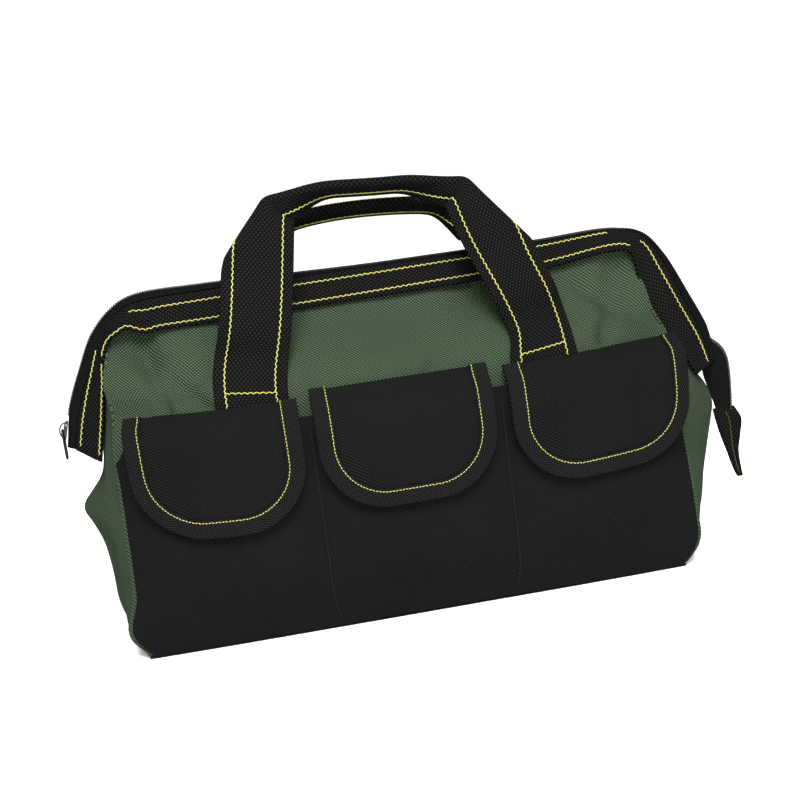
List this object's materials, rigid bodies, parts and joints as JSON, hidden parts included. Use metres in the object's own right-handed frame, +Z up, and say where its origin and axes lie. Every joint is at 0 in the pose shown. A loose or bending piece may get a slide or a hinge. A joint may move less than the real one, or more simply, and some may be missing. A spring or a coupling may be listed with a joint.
{
  "type": "wide mouth tool bag",
  "caption": "Green and black cloth tool bag with a zipped wide mouth, webbing handles and flap pockets along the front.",
  "frame": {"origin": "middle of the base's underside", "axes": "+X along the bag's length, towards the zip's free end; +Y from the pockets to the back; +Z up"},
  "size_m": [0.5156, 0.1952, 0.3051],
  "materials": {
    "green_cloth": "woven",
    "black_cloth": "woven",
    "webbing": "ribbed weave",
    "zip_tape": "woven",
    "zip_coil": "satin",
    "slider_metal": "satin",
    "pull_wire": "satin"
  },
  "bodies": {
    "bag": {"front_panel": "green_cloth", "back_panel": "green_cloth", "end_cloth_left": "green_cloth", "end_cloth_right": "green_cloth", "base_panel": "black_cloth", "pocket_panel": "black_cloth", "flap_left": "black_cloth", "flap_middle": "black_cloth", "flap_right": "black_cloth", "flap_binding_left": "webbing", "flap_binding_middle": "webbing", "flap_binding_right": "webbing", "mouth_band_front": "webbing", "mouth_band_back": "webbing", "zip_end_tab": "webbing", "handle_front": "webbing", "handle_back": "webbing", "zip_tape_front": "zip_tape", "zip_tape_back": "zip_tape", "zip_tail": "zip_tape", "zip_coil": "zip_coil", "zip_slider": "slider_metal"},
    "pull": {"zip_pull": "pull_wire"}
  },
  "joints": [
    {"name": "pull_swing", "type": "hinge", "parent": "bag", "child": "pull", "pos_m": [-0.23999, 0, 0.15317], "axis": [0, 1, 0], "range_deg": [0, 110]}
  ]
}
